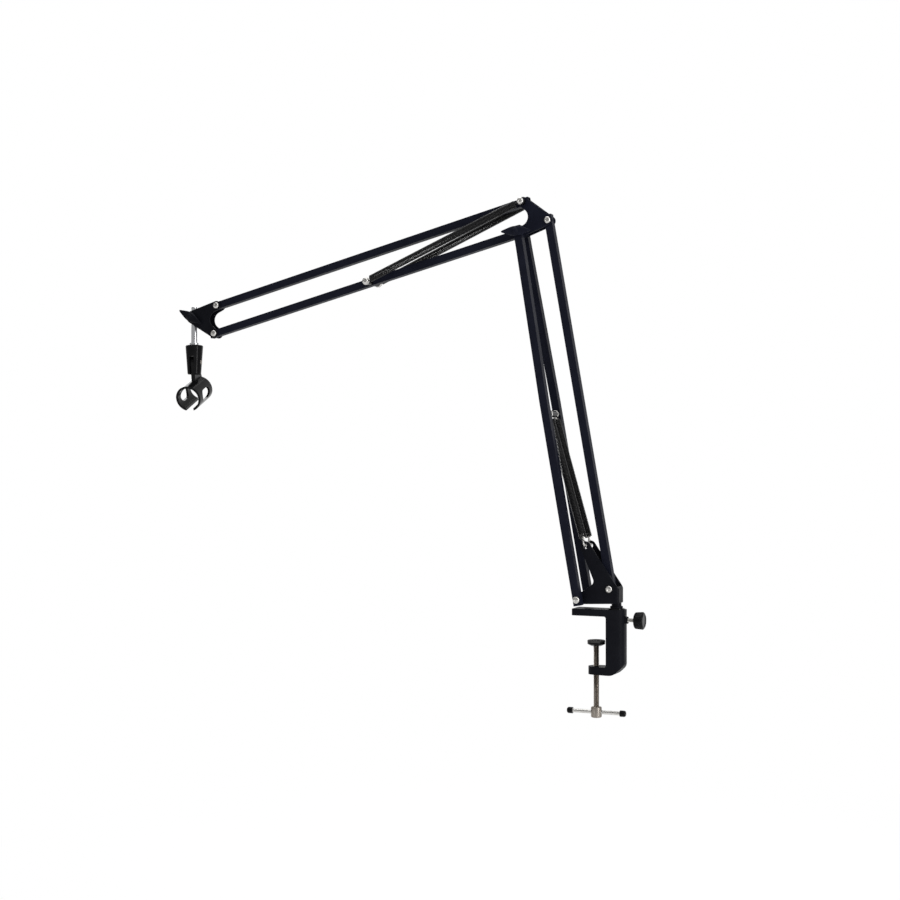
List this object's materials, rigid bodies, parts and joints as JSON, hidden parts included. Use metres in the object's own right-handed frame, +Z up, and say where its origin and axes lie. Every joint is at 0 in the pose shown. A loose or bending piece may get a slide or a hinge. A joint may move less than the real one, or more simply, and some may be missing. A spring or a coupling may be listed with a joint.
{
  "type": "microphone boom arm",
  "caption": "Spring-balanced scissor boom arm with square-tube parallel links, a desk C-clamp with a swivel post, wing-nut joints and a plastic microphone clip on a hanging stud.",
  "frame": {"origin": "on the clamp screw's axis, in the plane of the upper jaw's underside where the desk top seats", "axes": "+Z up, -X the way the upper arm reaches from the clamp, +Y across the arm, away from the wing nuts"},
  "size_m": [0.5467, 0.0496, 0.5302],
  "materials": {
    "satin_black": "satin black paint",
    "spring_black": "black coated spring wire",
    "zinc_steel": "zinc plated",
    "chrome": "bright chrome",
    "black_plastic": "moulded black plastic",
    "pad_rubber": "matt",
    "insert_brass": "turned"
  },
  "bodies": {
    "clamp": {"clamp_frame": "satin_black", "post_bush": "black_plastic"},
    "lock": {"lock_knob": "black_plastic", "lock_stud": "zinc_steel"},
    "pressure": {"pressure_plate": "black_plastic", "pressure_pad": "pad_rubber"},
    "screw": {"clamp_screw": "zinc_steel"},
    "tommy": {"tommy_bar": "zinc_steel", "tommy_caps": "black_plastic"},
    "base": {"swivel_post": "satin_black", "base_bracket": "satin_black", "base_rear_bolt": "zinc_steel", "base_rear_nut": "zinc_steel", "base_rear_spacers": "black_plastic", "base_front_bolt": "zinc_steel", "base_front_nut": "zinc_steel", "base_front_spacers": "black_plastic"},
    "lower_front": {"lower_near_bar": "satin_black", "lower_far_bar": "satin_black", "lower_spring_bolt": "zinc_steel", "lower_spring_sleeves": "black_plastic"},
    "lower_rear": {"lower_rear_bar": "satin_black"},
    "lower_springs": {"lower_near_spring": "spring_black", "lower_far_spring": "spring_black", "lower_horn_hooks": "zinc_steel"},
    "lower_spring_ends": {"lower_pin_hooks": "zinc_steel"},
    "elbow": {"elbow_near_plate": "satin_black", "elbow_far_plate": "satin_black", "elbow_rear_bolt": "zinc_steel", "elbow_rear_nut": "zinc_steel", "elbow_top_bolt": "zinc_steel", "elbow_top_nut": "zinc_steel", "elbow_top_spacers": "black_plastic", "elbow_wing_bolt": "zinc_steel"},
    "elbow_wing": {"elbow_wing_nut": "satin_black"},
    "upper_bottom": {"upper_bottom_bar": "satin_black", "upper_spring_bolt": "zinc_steel", "upper_spring_nut": "zinc_steel", "upper_spring_spacers": "black_plastic"},
    "upper_top": {"upper_top_bar": "satin_black"},
    "upper_springs": {"upper_near_spring": "spring_black", "upper_far_spring": "spring_black", "upper_elbow_hooks": "spring_black"},
    "upper_spring_ends": {"upper_pin_hooks": "zinc_steel"},
    "head": {"head_near_plate": "satin_black", "head_far_plate": "satin_black", "head_top_bolt": "zinc_steel", "head_top_nut": "zinc_steel", "head_bottom_bolt": "zinc_steel", "head_bottom_nut": "zinc_steel", "head_wing_bolt": "zinc_steel"},
    "head_wing": {"head_wing_nut": "satin_black"},
    "stud": {"mic_stud": "chrome", "stud_collar": "chrome"},
    "clip_base": {"clip_socket": "black_plastic", "clip_insert": "insert_brass", "clip_screw": "zinc_steel", "clip_nut": "zinc_steel"},
    "clip": {"clip_jaws": "black_plastic"}
  },
  "joints": [
    {"name": "base_swivel", "type": "hinge", "parent": "clamp", "child": "base", "pos_m": [0.02125, 0, 0], "axis": [0, 0, 1], "continuous": true},
    {"name": "lower_arm_tilt", "type": "hinge", "parent": "base", "child": "lower_front", "pos_m": [-0.01395, 0, 0.0167], "axis": [0, -1, 0], "range_deg": [-20, 50], "deforming": ["lower_near_spring", "lower_far_spring"]},
    {"name": "lower_rear_swing", "type": "hinge", "parent": "base", "child": "lower_rear", "pos_m": [0.01625, 0, 0.0276], "axis": [0, -1, 0], "range_deg": [-20.01, 50.01]},
    {"name": "lower_spring_swing", "type": "hinge", "parent": "base", "child": "lower_springs", "pos_m": [-0.00865, 0, 0.0697], "axis": [0, -1, 0], "range_deg": [-25.01, 62.51]},
    {"name": "lower_spring_end_swing", "type": "hinge", "parent": "lower_front", "child": "lower_spring_ends", "pos_m": [-0.04727, 0, 0.20376], "axis": [0, -1, 0], "range_deg": [-5.01, 12.51]},
    {"name": "elbow_level", "type": "hinge", "parent": "lower_front", "child": "elbow", "pos_m": [-0.08059, 0, 0.39081], "axis": [0, -1, 0], "range_deg": [-50.01, 20.01]},
    {"name": "elbow_wing_turn", "type": "hinge", "parent": "elbow", "child": "elbow_wing", "pos_m": [-0.08059, 0, 0.39081], "axis": [0, -1, 0], "continuous": true},
    {"name": "upper_arm_tilt", "type": "hinge", "parent": "elbow", "child": "upper_bottom", "pos_m": [-0.08059, 0, 0.39081], "axis": [0, -1, 0], "range_deg": [-55, 40], "deforming": ["upper_near_spring", "upper_far_spring"]},
    {"name": "upper_top_swing", "type": "hinge", "parent": "elbow", "child": "upper_top", "pos_m": [-0.07749, 0, 0.42201], "axis": [0, -1, 0], "range_deg": [-55.01, 40.01]},
    {"name": "upper_spring_swing", "type": "hinge", "parent": "elbow", "child": "upper_springs", "pos_m": [-0.07749, 0, 0.42201], "axis": [0, -1, 0], "range_deg": [-52.26, 38.01]},
    {"name": "upper_spring_end_swing", "type": "hinge", "parent": "upper_bottom", "child": "upper_spring_ends", "pos_m": [-0.2533, 0, 0.34775], "axis": [0, -1, 0], "range_deg": [-2.01, 2.76]},
    {"name": "head_level", "type": "hinge", "parent": "upper_bottom", "child": "head", "pos_m": [-0.4493, 0, 0.29888], "axis": [0, -1, 0], "range_deg": [-40.01, 55.01]},
    {"name": "head_wing_turn", "type": "hinge", "parent": "head", "child": "head_wing", "pos_m": [-0.4787, 0, 0.31828], "axis": [0, -1, 0], "continuous": true},
    {"name": "stud_tilt", "type": "hinge", "parent": "head", "child": "stud", "pos_m": [-0.4787, 0, 0.31828], "axis": [0, -1, 0], "range_deg": [-90, 20]},
    {"name": "clip_turn", "type": "hinge", "parent": "stud", "child": "clip_base", "pos_m": [-0.4787, 0, 0.31828], "axis": [0, 0, 1], "continuous": true},
    {"name": "clip_tilt", "type": "hinge", "parent": "clip_base", "child": "clip", "pos_m": [-0.4787, 0, 0.26728], "axis": [0.9816, 0.1908, 0], "range_deg": [-55, 35]},
    {"name": "lock_turn", "type": "hinge", "parent": "clamp", "child": "lock", "pos_m": [0.02125, 0, -0.0035], "axis": [1, 0, 0], "continuous": true},
    {"name": "clamp_travel", "type": "slide", "parent": "clamp", "child": "pressure", "axis": [0, 0, 1], "range_m": [-0.019, 0.024]},
    {"name": "clamp_turn", "type": "hinge", "parent": "pressure", "child": "screw", "pos_m": [0, 0, -0.04], "axis": [0, 0, 1], "continuous": true},
    {"name": "tommy_slide", "type": "slide", "parent": "screw", "child": "tommy", "axis": [1, 0, 0], "range_m": [-0.018, 0.018]}
  ],
  "couplings": [
    {"joint": "lower_rear_swing", "follows": "lower_arm_tilt", "ratio": 1},
    {"joint": "elbow_level", "follows": "lower_arm_tilt", "ratio": -1},
    {"joint": "lower_spring_swing", "follows": "lower_arm_tilt", "ratio": 1.25},
    {"joint": "lower_spring_end_swing", "follows": "lower_arm_tilt", "ratio": 0.25},
    {"joint": "upper_top_swing", "follows": "upper_arm_tilt", "ratio": 1},
    {"joint": "head_level", "follows": "upper_arm_tilt", "ratio": -1},
    {"joint": "upper_spring_swing", "follows": "upper_arm_tilt", "ratio": 0.95},
    {"joint": "upper_spring_end_swing", "follows": "upper_arm_tilt", "ratio": -0.05},
    {"joint": "clamp_turn", "follows": "clamp_travel", "rad_per_m": 6283.2}
  ]
}
